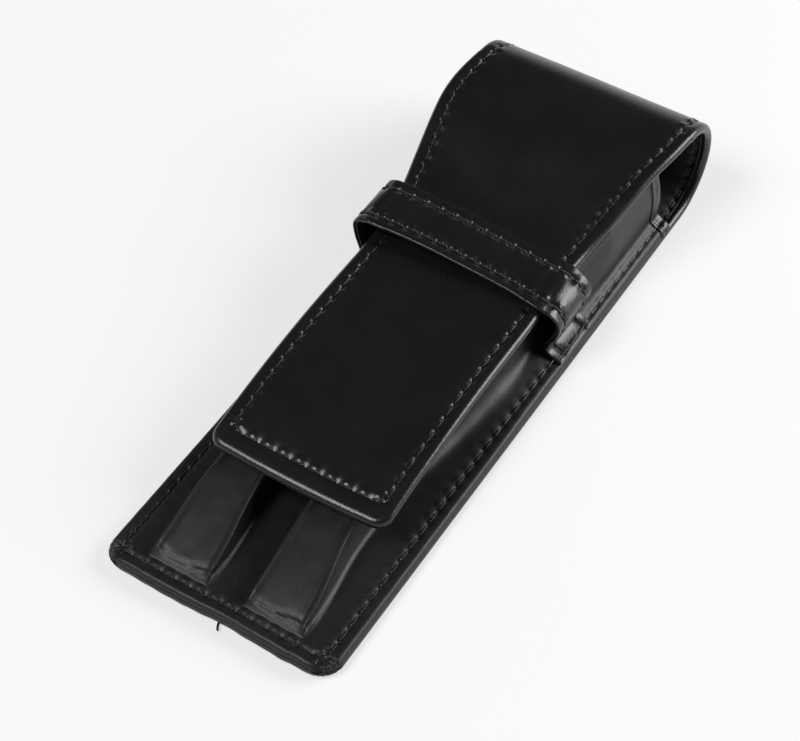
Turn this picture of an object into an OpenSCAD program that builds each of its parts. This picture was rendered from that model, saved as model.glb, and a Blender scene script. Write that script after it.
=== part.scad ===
// Two-pen leather case with a tongue flap that tucks under a strap.
// The case lies on its back: X is across the pens, +Y points to the bend,
// z = 0 is the face that lies on the desk.

/* [Case] */
// Width of the case across both pens
case_w = 58; // [54:1:66]
// Length from the stitched end to the outside of the bend
case_l = 170; // [168:1:190]
// Height of the bend from the desk to the top of the flap
bend_h = 28; // [25:0.5:30]
// Radius of the two corners at the stitched end
corner_r = 5; // [2:0.5:8]

/* [Leather] */
// Thickness of the outer leather
outer_t = 1.2; // [0.9:0.1:1.5]
// Thickness of the stiffener inside the back and the flap
board_t = 0.6; // [0.4:0.1:1]
// Thickness of the lining leather
lining_t = 0.8; // [0.5:0.1:1.1]
// Width of outer leather turned over the edge of each panel
turned_w = 1.8; // [1.2:0.2:3]
// Play round the stiffener and lining inside the turned edge
seat_gap = 0.1; // [0.05:0.05:0.2]
// Gap between two segments of the bend
bend_gap = 0.1; // [0.05:0.05:0.2]

/* [Sleeves] */
// Thickness of the pleated sleeve leather
sleeve_t = 1; // [0.7:0.1:1.3]
// Height of a sleeve above the lining
sleeve_h = 13; // [11:0.5:14]
// How far a sleeve's inner wall leans at the mouth
mouth_inner_lean = 3; // [2:0.5:5]
// How far a sleeve's outer wall leans at the mouth
mouth_outer_lean = 1.4; // [0.6:0.2:4]
// How far the inner wall leans at the waist, where the flat top is narrowest
waist_inner_lean = 4.5; // [3:0.5:6]
// How far the outer wall leans at the waist
waist_outer_lean = 7.6; // [5:0.2:9]
// How far the inner wall leans at the tip
tip_inner_lean = 3.5; // [2:0.5:5]
// How far the outer wall leans at the tip
tip_outer_lean = 5.6; // [4:0.2:7]
// How far the foot of a wall stands out from its crease at the tip
tip_wall_foot = 0.6; // [0.4:0.1:2]
// How far the foot of a wall stands out from its crease at the waist
waist_wall_foot = 1.4; // [0.4:0.1:3]
// Distance from the stitched end to the waist
waist_l = 34; // [25:1:45]
// Length over which a sleeve widens from its waist to its mouth's width
widen_l = 60; // [40:1:80]
// Radius of the creases along a sleeve
crease_r = 1.2; // [0.6:0.1:2]
// Width of the sewn flange along the side of a sleeve
flange_w = 4.6; // [4:0.2:6]
// Setback of the sleeve leather from the edge of the back
edge_set = 0.6; // [0.4:0.1:1]
// Width of the foot sewn down along the centre line
foot_w = 1.5; // [1:0.1:2.5]
// Gap between the two sleeves at the centre line
seam_gap = 0.1; // [0.1:0.1:0.4]
// Distance from the stitched end to where the sleeves start to rise
tip_l = 5; // [4:0.5:10]
// Length over which a sleeve rises to its full height
rise_l = 75; // [55:1:80]
// Distance from the stitched end to the mouth of the sleeves
mouth_l = 150; // [135:1:152]
// Length of the binding round each mouth
binding_w = 3.5; // [2.5:0.5:6]
// Thickness of one layer of the binding
binding_t = 0.4; // [0.3:0.1:0.6]

/* [Flap] */
// Room between the tongue and the strap on each side
tongue_play = 2.7; // [1.5:0.1:5]
// Radius of the corners of the tongue
tongue_r = 3.5; // [2:0.5:8]
// Distance from the stitched end to the tip of the tongue
tongue_tip = 31; // [20:1:60]
// Bow of the tongue's end
tip_bow = 0.8; // [0.2:0.1:2]
// Length of the shoulders that lies under the strap
shoulder_tuck = 12; // [2:0.5:14]
// Length of the shoulders
shoulder_l = 52; // [30:1:54]
// Clearance between the flap and the sleeves
flap_gap = 0.3; // [0.2:0.1:0.6]

/* [Strap] */
// Width of the strap
strap_w = 15; // [10:1:16]
// Distance from the stitched end to the strap
strap_pos = 97; // [88:1:98]
// Thickness of the strap leather
strap_t = 0.7; // [0.6:0.1:1.4]
// Thickness of the strap lining
strap_lining_t = 0.4; // [0.3:0.1:0.9]
// Radius of the strap's shoulders
strap_r = 4.2; // [3:0.2:4.2]
// Clearance round the strap
strap_gap = 0.3; // [0.2:0.1:0.6]
// Play between the strap and the foot of a sleeve's outer wall
strap_play = 0.8; // [0.1:0.1:1]

/* [Hidden] */

panel_t = outer_t + board_t + lining_t;
bend_r = bend_h / 2;
bend_l = case_l - bend_r;
bend_segments = 5;
segment_angle = 180 / bend_segments;
gap_angle = asin(bend_gap / 2 / bend_r);
tongue_under = panel_t + sleeve_h + flap_gap;
strap_top = tongue_under + panel_t + strap_gap + strap_lining_t + strap_t;
strap_foot = strap_t + strap_lining_t;
strap_end = strap_pos + strap_w;
strap_half = case_w / 2 - flange_w + strap_play + strap_foot;
tongue_w = 2 * (strap_half - strap_foot - tongue_play);
shoulder_start = strap_end - shoulder_tuck;
sleeve_steps = 28;
flap_steps = 32;
shoulder_steps = 12;
corner_steps = 6;
crease_steps = 2;
cut = 1;
$fn = 64;

OUTER = "#1b1b1d";
SLEEVE = "#2c2c2f";
LINING = "#222224";
BOARD = "#6b5f50";

// Lengths are measured from the stitched end; the model is centred on Y
module from_end(l) {
    translate([0, l - case_l / 2, 0]) children();
}

// Ease from 0 to 1 with no slope at either end
function ease(t) = let (u = min(max(t, 0), 1)) u * u * (3 - 2 * u);

// Share of the full height that a sleeve has at length l
function rise(l) = let (u = min(max((l - tip_l) / rise_l, 0), 1)) 1 - pow(1 - u, 2);

// Top of the sleeves above the desk at length l
function sleeve_top(l) = panel_t + sleeve_t + (sleeve_h - sleeve_t) * rise(l);

// Underside of the flap above the desk at length l
function flap_under(l) =
    sleeve_top(l) + flap_gap
    + (bend_h - panel_t - tongue_under) * ease((l - strap_end) / (bend_l - strap_end));

// Half the width of the flap at length l
function flap_half(l) = tongue_w / 2
    + (case_w - tongue_w) / 2 * ease((l - shoulder_start) / shoulder_l);

// ---- back panel ----

// Outline of the back, drawn inset from its edge, up to length l
module back_outline(inset, l) {
    r = max(corner_r - inset, 0.2);
    half = case_w / 2 - inset;
    union() {
        for (side = [-1, 1])
            translate([side * (half - r), inset + r]) circle(r);
        translate([r - half, inset]) square([2 * (half - r), r]);
        translate([-half, inset + r]) square([2 * half, l - inset - r]);
    }
}

// Outer leather of the back, turned up round a seat for the lining
module back_outer() {
    color(OUTER) from_end(0) difference() {
        linear_extrude(panel_t) back_outline(0, bend_l);
        translate([0, 0, outer_t]) linear_extrude(panel_t)
            back_outline(turned_w - seat_gap, bend_l + cut);
    }
}

// Stiffener between the outer leather and the lining
module back_board() {
    color(BOARD) from_end(0) translate([0, 0, outer_t])
        linear_extrude(board_t) back_outline(turned_w, bend_l - board_t);
}

// Lining under the sleeves
module back_lining() {
    color(LINING) from_end(0) translate([0, 0, outer_t + board_t])
        linear_extrude(lining_t) back_outline(turned_w, bend_l);
}

// ---- sleeves ----

function unit(v) = v / norm(v);

// Corner of an open line, rounded by a curve of crease_steps pieces
function rounded(a, b, c, r) =
    let (
        k = min(r, norm(a - b) / 2.2, norm(c - b) / 2.2),
        p = b + unit(a - b) * k,
        q = b + unit(c - b) * k
    )
    [for (i = [0:crease_steps]) let (t = i / crease_steps)
        pow(1 - t, 2) * p + 2 * t * (1 - t) * b + t * t * q];

// Lean of a wall at length l, from its values at the tip, the waist and the mouth
function lean(l, tip, waist, mouth) =
    tip + (waist - tip) * ease((l - tip_l) / (waist_l - tip_l))
    + (mouth - waist) * ease((l - waist_l) / widen_l);

// Corners of an open line moved square to it by t, outward when t is positive
function moved(p, t) =
    [for (i = [0:len(p) - 1])
        let (
            u = unit(p[i] - p[max(i - 1, 0)] + (i == 0 ? p[1] - p[0] : [0, 0])),
            v = unit(p[min(i + 1, len(p) - 1)] - p[i] + (i == len(p) - 1 ? u : [0, 0])),
            n = unit([-u[1], u[0]] + [-v[1], v[0]]),
            grow = n * [-u[1], u[0]]
        )
        p[i] + n * t / grow];

// Corners of one sleeve's upper face at length l: foot, wall, flat top, wall, flange
function corners(l) =
    let (
        low = panel_t + sleeve_t,
        high = sleeve_top(l),
        edge = case_w / 2,
        inner = foot_w + lean(l, tip_inner_lean, waist_inner_lean, mouth_inner_lean),
        outer = edge - flange_w - lean(l, tip_outer_lean, waist_outer_lean, mouth_outer_lean)
    )
    [
        [seam_gap / 2, low],
        [inner - lean(l, tip_wall_foot, waist_wall_foot, mouth_inner_lean), low],
        [inner, high],
        [outer, high],
        [outer + lean(l, tip_wall_foot, waist_wall_foot, mouth_outer_lean), low],
        [edge - edge_set, low]
    ];

// Line across a sleeve at length l, at a level above (or below) its upper face
function section(l, level) =
    let (p = moved(corners(l), level), last = len(p) - 1, r = max(crease_r + level, crease_r / 4))
    concat(
        [p[0]],
        [for (i = [1:last - 1]) each rounded(p[i - 1], p[i], p[i + 1], r)],
        [p[last]]
    );

// Two triangles of a face with four corners, so that a twisted face is never left to chance
function split(q) = [[q[0], q[1], q[2]], [q[0], q[2], q[3]]];

// Sheet lofted through the lengths in stations; its upper face lies at one level of
// the section and its lower face at the level that lowers gives for each station
module sheet(stations, upper, lowers) {
    rings = [for (k = [0:len(stations) - 1]) let (l = stations[k]) concat(
        [for (p = section(l, upper)) [p[0], l, p[1]]],
        [for (p = section(l, lowers[k])) [p[0], l, p[1]]]
    )];
    n = len(rings[0]) / 2;
    last = len(stations) - 1;
    base = last * 2 * n;
    polyhedron(
        [for (ring = rings) each ring],
        concat(
            [for (k = [0:last - 1], i = [0:n - 2]) let (a = k * 2 * n + i, b = a + 2 * n)
                each concat(split([b, b + 1, a + 1, a]), split([b + n + 1, b + n, a + n, a + n + 1]))],
            [for (k = [0:last - 1]) let (a = k * 2 * n, b = a + 2 * n)
                each concat(
                    split([a + n, b + n, b, a]),
                    split([b + n - 1, b + 2 * n - 1, a + 2 * n - 1, a + n - 1])
                )],
            [for (i = [0:n - 2]) each concat(
                split([i + 1, i + n + 1, i + n, i]),
                split([base + i + n, base + i + n + 1, base + i + 1, base + i])
            )]
        ),
        convexity = 6
    );
}

function between(a, b, steps) = [for (i = [0:steps]) a + (b - a) * i / steps];

// Pleated sleeve on the right, notched where the strap is sewn in
module sleeve(side) {
    stations = concat([edge_set], between(tip_l, mouth_l, sleeve_steps));
    color(SLEEVE) from_end(0) mirror([side < 0 ? 1 : 0, 0, 0]) difference() {
        intersection() {
            sheet(stations, 0, [for (l = stations) -sleeve_t]);
            translate([0, 0, panel_t]) linear_extrude(sleeve_h + cut)
                back_outline(edge_set, mouth_l + cut);
        }
        translate([strap_half - strap_foot, strap_pos - strap_gap, 0])
            cube([case_w, strap_w + 2 * strap_gap, panel_t + 2 * sleeve_t]);
    }
}

// Binding round the mouth of a sleeve, with a lip over the cut edge of its leather
module mouth_binding(side) {
    lip = [mouth_l, mouth_l + binding_t / 4, mouth_l + binding_t];
    color(OUTER) from_end(0) mirror([side < 0 ? 1 : 0, 0, 0])
        sheet(concat([mouth_l - binding_w], lip), binding_t, [0, 0, -sleeve_t, -sleeve_t]);
}

// ---- strap ----

// Arch of the strap over the tongue, drawn inset from its outer face
module strap_arch(inset) {
    half = strap_half - inset;
    top = strap_top - inset;
    r = max(strap_r - inset, 0.2);
    union() {
        for (side = [-1, 1])
            translate([side * (half - r), top - r]) circle(r);
        translate([r - half, top - r]) square([2 * (half - r), r]);
        translate([-half, panel_t]) square([2 * half, top - r - panel_t]);
    }
}

// Shape across the case, drawn out to the width of the strap
module strap_length() {
    from_end(strap_end) rotate([90, 0, 0]) linear_extrude(strap_w) children();
}

// Outer leather of the strap; its ends turn outward, thinned to lie level with the flanges
module strap_outer() {
    tab_w = case_w / 2 - edge_set - strap_half + strap_t;
    color(OUTER) strap_length() union() {
        difference() {
            strap_arch(0);
            strap_arch(strap_t);
        }
        for (side = [-1, 1])
            translate([side * (case_w / 2 - edge_set - tab_w / 2), panel_t + sleeve_t / 2])
                square([tab_w, sleeve_t], center = true);
    }
}

// Lining of the strap
module strap_lining() {
    color(LINING) strap_length() difference() {
        strap_arch(strap_t);
        strap_arch(strap_foot);
    }
}

// ---- bend ----

// Ring sector about the axis of the bend: depths from the outer face, angles from below
module bend_sector(depth_0, depth_1, x_0, x_1, segment) {
    start = (segment - 1) * segment_angle + gap_angle;
    from_end(bend_l) translate([0, 0, bend_r]) rotate([0, 90, 0]) rotate([0, 0, start])
        rotate_extrude(angle = segment_angle - 2 * gap_angle)
            translate([bend_r - depth_1, x_0]) square([depth_1 - depth_0, x_1 - x_0]);
}

// Outer leather of one segment, with its turned edges
module bend_outer(segment) {
    half = case_w / 2;
    seat = half - turned_w + seat_gap;
    color(OUTER) union() {
        bend_sector(0, outer_t, -half, half, segment);
        bend_sector(0, panel_t, -half, -seat, segment);
        bend_sector(0, panel_t, seat, half, segment);
    }
}

// Lining of one segment; it is bonded and as thick as stiffener and lining together
module bend_lining(segment) {
    half = case_w / 2 - turned_w;
    color(LINING) bend_sector(outer_t, panel_t, -half, half, segment);
}

// ---- flap ----

// Outline of the flap, drawn inset from its edge, from its tip up to length l
module flap_outline(inset, l) {
    r = max(tongue_r - inset, 0.2);
    half = tongue_w / 2 - inset;
    tip = tongue_tip + inset;
    end = [for (i = [0:corner_steps]) let (a = 90 * i / corner_steps)
        [half - r + r * sin(a), tip + r + tip_bow - r * cos(a)]];
    side = [for (s = between(shoulder_start, shoulder_start + shoulder_l, shoulder_steps))
        [flap_half(s) - inset, s]];
    right = concat([[0, tip]], end, side, [[case_w / 2 - inset, l]]);
    polygon(concat(right, [for (i = [len(right) - 1:-1:1]) [-right[i][0], right[i][1]]]));
}

// Band that follows the flap's side profile between two heights above its underside
module flap_band(low, high) {
    stations = between(tongue_tip - cut, bend_l, flap_steps);
    upper = [for (l = stations) [l, flap_under(l) + high]];
    lower = [for (i = [flap_steps:-1:0]) [stations[i], flap_under(stations[i]) + low]];
    rotate([90, 0, 90]) linear_extrude(2 * case_w, center = true) polygon(concat(upper, lower));
}

// Layer of the flap between two heights, cut to the outline
module flap_layer(low, high, inset, l) {
    intersection() {
        flap_band(low, high);
        linear_extrude(2 * bend_h) flap_outline(inset, l);
    }
}

module flap_outer() {
    color(OUTER) from_end(0) difference() {
        flap_layer(0, panel_t, 0, bend_l);
        flap_layer(-cut, panel_t - outer_t, turned_w - seat_gap, bend_l + cut);
    }
}

module flap_board() {
    color(BOARD) from_end(0) flap_layer(lining_t, lining_t + board_t, turned_w, bend_l - board_t);
}

module flap_lining() {
    color(LINING) from_end(0) flap_layer(0, lining_t, turned_w, bend_l);
}

back_outer();
back_board();
back_lining();
sleeve(-1);  // sleeve_left
sleeve(1);  // sleeve_right
mouth_binding(-1);  // mouth_binding_left
mouth_binding(1);  // mouth_binding_right
strap_outer();
strap_lining();
bend_outer(1);  // bend_outer_1
bend_outer(2);  // bend_outer_2
bend_outer(3);  // bend_outer_3
bend_outer(4);  // bend_outer_4
bend_outer(5);  // bend_outer_5
bend_lining(1);  // bend_lining_1
bend_lining(2);  // bend_lining_2
bend_lining(3);  // bend_lining_3
bend_lining(4);  // bend_lining_4
bend_lining(5);  // bend_lining_5
flap_outer();
flap_board();
flap_lining();
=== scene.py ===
# %% [markdown]
# A leather case for two fountain pens. The back panel, the bend and the flap are one long piece of turned
# leather. Two pleated sleeves are sewn on the back, and a strap holds the tongue of the flap. The solids of
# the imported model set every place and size; this script dresses them with soft, rounded, stitched leather.

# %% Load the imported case
import math

import bmesh
import bpy
import numpy as np
from mathutils import Matrix, Vector, noise


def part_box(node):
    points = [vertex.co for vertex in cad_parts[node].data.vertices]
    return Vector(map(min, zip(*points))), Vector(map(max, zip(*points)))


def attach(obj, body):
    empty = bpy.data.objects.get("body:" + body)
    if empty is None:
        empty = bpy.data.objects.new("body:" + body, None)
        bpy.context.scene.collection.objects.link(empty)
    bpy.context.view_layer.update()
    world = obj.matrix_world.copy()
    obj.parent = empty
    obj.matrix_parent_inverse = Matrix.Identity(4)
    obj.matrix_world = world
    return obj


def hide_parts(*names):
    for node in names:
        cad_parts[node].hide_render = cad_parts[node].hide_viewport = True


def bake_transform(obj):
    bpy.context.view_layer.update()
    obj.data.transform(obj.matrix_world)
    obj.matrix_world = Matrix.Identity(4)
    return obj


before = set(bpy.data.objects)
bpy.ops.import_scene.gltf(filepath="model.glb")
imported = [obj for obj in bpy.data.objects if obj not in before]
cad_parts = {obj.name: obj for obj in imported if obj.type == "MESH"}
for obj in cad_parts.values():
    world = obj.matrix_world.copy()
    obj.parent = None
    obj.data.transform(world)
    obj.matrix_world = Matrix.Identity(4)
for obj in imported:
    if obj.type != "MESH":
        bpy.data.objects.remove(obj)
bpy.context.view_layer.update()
MM = 0.001

# %% [markdown]
# The sizes come from the solids wherever a solid holds them. Lengths along the case are measured from the
# stitched end, as a leather worker would measure them, and in millimetres, as leather is cut.

# %% Sizes read from the solids
def node_box(node):
    """Low and high corner of a solid, in millimetres."""
    low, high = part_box(node)
    return np.array(low) / MM, np.array(high) / MM


back_low, back_high = node_box("back_outer")
flap_low, flap_high = node_box("flap_outer")
strap_low, strap_high = node_box("strap_outer")
binding_low, binding_high = node_box("mouth_binding_right")
lining_high = node_box("back_lining")[1]
sleeve_high = node_box("sleeve_right")[1]
strap_lining_high = node_box("strap_lining")[1]

STITCHED_END = back_low[1]
HALF_W = back_high[0]
PANEL_T = back_high[2]
BEND_L = back_high[1] - STITCHED_END
BEND_H = flap_high[2]
BEND_R = BEND_H / 2
TONGUE_TIP = flap_low[1] - STITCHED_END
TURNED_W = HALF_W - lining_high[0]
SLEEVE_TOP = sleeve_high[2]
MOUTH_L = sleeve_high[1] - STITCHED_END
STRAP_START = strap_low[1] - STITCHED_END
STRAP_END = strap_high[1] - STITCHED_END
STRAP_W = STRAP_END - STRAP_START
STRAP_TOP = strap_high[2]
STRAP_T = STRAP_TOP - strap_lining_high[2]
STRAP_HALF = strap_lining_high[0] + STRAP_T
print("case", 2 * HALF_W, "wide, bend starts at", BEND_L, "and is", BEND_H, "high")

# %% [markdown]
# Some shapes have no box to read: the rise of the sleeves, the shoulders of the flap. They follow the same
# rules as the solids, so the soft pieces sit where the solids sit. The soft changes along the case are all
# made of one smooth step, `ramp`, which starts at a length and takes a length.

# %% Rules of the case's long profile
# Layers of leather and board.
OUTER_T = 1.2
LINING_T = 0.8
BOARD_T = PANEL_T - OUTER_T - LINING_T
SLEEVE_T = 1.0
# Sleeves: where they rise and widen along the case, and their flat parts across it.
TIP_L = 5.0
RISE_L = 75.0
WAIST_L = 34.0
WIDEN_L = 60.0
FOOT_W = 1.5
FLANGE_W = 4.6
# Flap: its gap over the sleeves, its round corners, its bowed tip and its shoulders.
FLAP_GAP = 0.3
CORNER_R = 5.0
TONGUE_HALF = 22.5
TONGUE_R = 3.5
TIP_BOW = 0.8
TIP_BOW_REACH = 6
SHOULDER_START = 100.0
SHOULDER_L = 52.0


def ease(t):
    """0 below 0, 1 above 1, and smooth between them."""
    u = np.clip(t, 0, 1)
    return u * u * (3 - 2 * u)


def ramp(l, start, length):
    """Smooth step from 0 at start to 1 a length further on."""
    return ease((l - start) / length)


def mound(l, middle, width):
    """Smooth mound of height 1 about a middle."""
    return np.exp(-((l - middle) / width) ** 2)


def sleeve_top(l):
    """Height of a sleeve's flat top at l."""
    short = 1 - np.clip((l - TIP_L) / RISE_L, 0, 1)
    return PANEL_T + SLEEVE_T + (SLEEVE_TOP - PANEL_T - SLEEVE_T) * (1 - short ** 2)


def flap_under(l):
    """Height of the closed flap's underside at l: it rests on the sleeves and climbs from strap to bend."""
    climb = BEND_H - PANEL_T - SLEEVE_TOP - FLAP_GAP
    return sleeve_top(l) + FLAP_GAP + climb * ramp(l, STRAP_END, BEND_L - STRAP_END)


def flap_half(l):
    """Half the flap's width at l, from the narrow tongue out over the shoulders."""
    return TONGUE_HALF + (HALF_W - TONGUE_HALF) * ramp(l, SHOULDER_START, SHOULDER_L)


def at(x, l, z):
    """Points in millimetres, measured from the stitched end, as points of the frame in metres."""
    x, l, z = np.broadcast_arrays(x, l, z)
    return np.stack([x, l + STITCHED_END, z], axis=-1) * MM


flap_heights = [round(float(flap_under(l)), 2) for l in (TONGUE_TIP, STRAP_END, BEND_L)]
print("flap's underside at tip, strap and bend:", flap_heights)

# %% [markdown]
# The camera comes early, so that every piece can be judged through it. It looks down on the case from the
# right of the stitched end, with a long lens: from near by, the far end would shrink too much.

# %% Camera
IMAGE_W = 800
FOCAL_PX = 2053
CAMERA_AZIMUTH = math.radians(31.04)
CAMERA_ELEVATION = math.radians(49.59)
CAMERA_ROLL = math.radians(1.05)
CAMERA_DISTANCE = 0.4684
CAMERA_TARGET = Vector((-0.00333, -0.00613, 0.0))

camera_data = bpy.data.cameras.new("camera")
camera_data.sensor_width = 36
camera_data.lens = FOCAL_PX / IMAGE_W * camera_data.sensor_width
camera_data.clip_start = 0.01
camera_data.clip_end = 20
camera = bpy.data.objects.new("camera", camera_data)
bpy.context.scene.collection.objects.link(camera)
bpy.context.scene.camera = camera
back = Vector((
    math.sin(CAMERA_AZIMUTH) * math.cos(CAMERA_ELEVATION),
    -math.cos(CAMERA_AZIMUTH) * math.cos(CAMERA_ELEVATION),
    math.sin(CAMERA_ELEVATION),
))
camera.rotation_mode = "QUATERNION"
turn = (-back).to_track_quat("-Z", "Y").to_matrix() @ Matrix.Rotation(CAMERA_ROLL, 3, "Z")
camera.rotation_quaternion = turn.to_quaternion()
camera.location = CAMERA_TARGET + back * CAMERA_DISTANCE
print("camera at", tuple(round(c, 3) for c in camera.location))

# %% [markdown]
# Every material here is made of nodes: patterns laid out in the object's own space, mixed and pressed into
# the surface as bumps. A few short helpers keep each recipe as short as it would be told at a bench.

# %% Helpers for materials
def nodes_of(name):
    """New material with its tree of nodes and its main shader."""
    material = bpy.data.materials.new(name)
    material.use_nodes = True
    tree = material.node_tree
    return material, tree, tree.nodes["Principled BSDF"]


def add(tree, kind, **values):
    """New node, with its settings and its inputs given by name."""
    node = tree.nodes.new(kind)
    for key, value in values.items():
        if hasattr(node, key):
            setattr(node, key, value)
        else:
            node.inputs[key].default_value = value
    return node


def pattern(tree, place, kind, **values):
    """New texture node laid out by a socket of places."""
    node = add(tree, kind, **values)
    tree.links.new(place, node.inputs["Vector"])
    return node


def ranged(tree, source, low, high, start=0.0, stop=1.0):
    """A socket's values from start to stop, carried to low to high."""
    node = tree.nodes.new("ShaderNodeMapRange")
    node.inputs["From Min"].default_value = start
    node.inputs["From Max"].default_value = stop
    node.inputs["To Min"].default_value = low
    node.inputs["To Max"].default_value = high
    tree.links.new(source, node.inputs["Value"])
    return node.outputs["Result"]


def reckoned(tree, operation, first, second):
    """One step of arithmetic on a socket with another socket or a number."""
    node = add(tree, "ShaderNodeMath", operation=operation)
    tree.links.new(first, node.inputs[0])
    if isinstance(second, float):
        node.inputs[1].default_value = second
    else:
        tree.links.new(second, node.inputs[1])
    return node.outputs["Value"]


def mixed(tree, first, second, factor):
    """Colour that goes from first to second by a socket."""
    mix = add(tree, "ShaderNodeMix", data_type="RGBA")
    mix.inputs["A"].default_value = (*first, 1)
    mix.inputs["B"].default_value = (*second, 1)
    tree.links.new(factor, mix.inputs["Factor"])
    return mix.outputs["Result"]


def pressed_in(tree, height, depth, under=None, strength=1.0, invert=False):
    """Normals of a face with a height socket pressed into it, over normals that it may have already."""
    bump = add(tree, "ShaderNodeBump", Strength=strength, Distance=depth, invert=invert)
    tree.links.new(height, bump.inputs["Height"])
    if under:
        tree.links.new(under, bump.inputs["Normal"])
    return bump.outputs["Normal"]


# %% [markdown]
# Black leather is nearly black, so its colour says little. What shows is how it shines: a soft sheen broken
# by fine grain. Each leather is one procedural material, with pebbles of grain in the bump, finer pores
# over them, and slow changes of sheen where hands have polished it. The grain sits in the object, so it
# never swims.

# %% Materials
GRAIN_WARP = 0.0004
SHEEN_CHANGE = 0.02
PORE_SHARE = 0.25
MIDDLE_OF_NOISE = (0.3, 0.7)
THREAD_TWIST = 0.00005
FLECK_DEPTH = 0.0001


def leather(name, dark, light, roughness, grain_mm, grain_depth, ior=1.48):
    """Grained leather: colour and roughness vary slowly, grain and pores sit in the bump."""
    material, tree, shader = nodes_of(name)
    link = tree.links.new
    place = tree.nodes.new("ShaderNodeTexCoord").outputs["Object"]
    slow = pattern(tree, place, "ShaderNodeTexNoise", Scale=90.0, Detail=3.0, Roughness=0.55).outputs["Fac"]
    fine = pattern(tree, place, "ShaderNodeTexNoise", Scale=2600.0, Detail=3.0, Roughness=0.6).outputs["Fac"]
    warp = pattern(tree, place, "ShaderNodeTexNoise", Scale=700.0, Detail=2.0)
    shift = add(tree, "ShaderNodeVectorMath", operation="MULTIPLY_ADD")
    link(warp.outputs["Color"], shift.inputs[0])
    shift.inputs[1].default_value = (GRAIN_WARP,) * 3
    link(place, shift.inputs[2])
    pebble = pattern(
        tree, shift.outputs["Vector"], "ShaderNodeTexVoronoi",
        feature="F1", Scale=1000.0 / grain_mm, Randomness=1.0,
    )
    link(mixed(tree, dark, light, ranged(tree, slow, 0, 1, *MIDDLE_OF_NOISE)), shader.inputs["Base Color"])
    sheen = ranged(tree, slow, roughness - SHEEN_CHANGE, roughness + SHEEN_CHANGE, *MIDDLE_OF_NOISE)
    dust = ranged(tree, fine, -0.04, 0.06, *MIDDLE_OF_NOISE)
    link(reckoned(tree, "ADD", sheen, dust), shader.inputs["Roughness"])
    grain = pressed_in(tree, pebble.outputs["Distance"], grain_depth * MM, invert=True)
    link(pressed_in(tree, fine, grain_depth * MM * PORE_SHARE, under=grain), shader.inputs["Normal"])
    shader.inputs["IOR"].default_value = ior
    return material


def twisted_thread(name, color, roughness):
    """Waxed thread: fine ridges of its twist in the bump."""
    material, tree, shader = nodes_of(name)
    place = tree.nodes.new("ShaderNodeTexCoord").outputs["Object"]
    ply = pattern(tree, place, "ShaderNodeTexWave", Scale=900.0, Distortion=2.0, Detail=2.0).outputs["Fac"]
    wax = pattern(tree, place, "ShaderNodeTexNoise", Scale=1500.0, Detail=2.0).outputs["Fac"]
    tree.links.new(pressed_in(tree, ply, THREAD_TWIST), shader.inputs["Normal"])
    tree.links.new(ranged(tree, wax, roughness - 0.1, roughness + 0.1), shader.inputs["Roughness"])
    shader.inputs["Base Color"].default_value = (*color, 1)
    return material


def fibre_board(name):
    """Stiffener of pressed fibre, matt and flecked."""
    material, tree, shader = nodes_of(name)
    place = tree.nodes.new("ShaderNodeTexCoord").outputs["Object"]
    fleck = pattern(tree, place, "ShaderNodeTexNoise", Scale=900.0, Detail=4.0).outputs["Fac"]
    tree.links.new(mixed(tree, (0.12, 0.09, 0.06), (0.2, 0.16, 0.11), fleck), shader.inputs["Base Color"])
    tree.links.new(pressed_in(tree, fleck, FLECK_DEPTH, strength=0.5), shader.inputs["Normal"])
    tree.links.new(ranged(tree, fleck, 0.8, 0.95), shader.inputs["Roughness"])
    return material


SKIN = leather(
    "skin_leather", dark=(0.0065, 0.0065, 0.007), light=(0.0085, 0.0085, 0.009),
    roughness=0.27, grain_mm=0.7, grain_depth=0.02,
)
SLEEVE_SKIN = leather(
    "sleeve_leather", dark=(0.007, 0.007, 0.0074), light=(0.01, 0.01, 0.0105),
    roughness=0.45, grain_mm=0.4, grain_depth=0.014, ior=1.42,
)
LINING = leather(
    "lining_leather", dark=(0.007, 0.007, 0.0075), light=(0.011, 0.011, 0.0115),
    roughness=0.6, grain_mm=0.45, grain_depth=0.025,
)
THREAD = twisted_thread("waxed_thread", color=(0.007, 0.007, 0.0075), roughness=0.4)
BOARD = fibre_board("fibre_board")
print("materials:", [m.name for m in (SKIN, SLEEVE_SKIN, LINING, THREAD, BOARD)])

# %% [markdown]
# The back, the bend and the flap are one strip of leather. It is easiest to model flat: a point is so far
# across (x), so far along from the stitched end (u), and so far in from the outer face (h). One function
# then lays the strip down as back panel, bends it up, and carries it back as flap. Everything on the strip,
# seams included, is written in these flat terms, just as a leather worker marks it before folding.

# %% The long strip, flat and folded
ARC_L = math.pi * BEND_R
FLAP_U = BEND_L + ARC_L
END_U = FLAP_U + BEND_L - TONGUE_TIP
END_WAVE_REACH = 3.0
FLAP_CROWN = 1.0
FLAP_SWAY = -1.9


def length_of(u):
    """Length from the stitched end of the place where u comes to lie, bend aside."""
    return np.where(u > FLAP_U, FLAP_U + BEND_L - u, np.minimum(u, BEND_L))


def smooth_noise(points, scale, seed):
    """Even noise at each point, for the small unevenness of a hand-made piece."""
    shift = Vector((seed * 7.1, seed * 3.3, seed * 5.7))
    flat = np.reshape(points, (-1, 3))
    values = [noise.noise(Vector(p) / scale + shift) for p in flat]
    return np.reshape(values, np.shape(points)[:-1])


def end_wave(x, l, z):
    """Shift along and up near the stitched end, which is rolled by hand and never runs quite straight."""
    near = np.exp(-np.maximum(l, 0) / END_WAVE_REACH)
    along = 0.2 * np.sin(x / 5.3 + 1.1) + 0.07 * np.sin(x / 2.1 + x * x / 90) + 0.05 * np.sin(x / 0.8 + 2)
    return along * near, 0.12 * np.sin(x / 3.6 + 0.7) * near * (z > 0.5)


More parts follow.
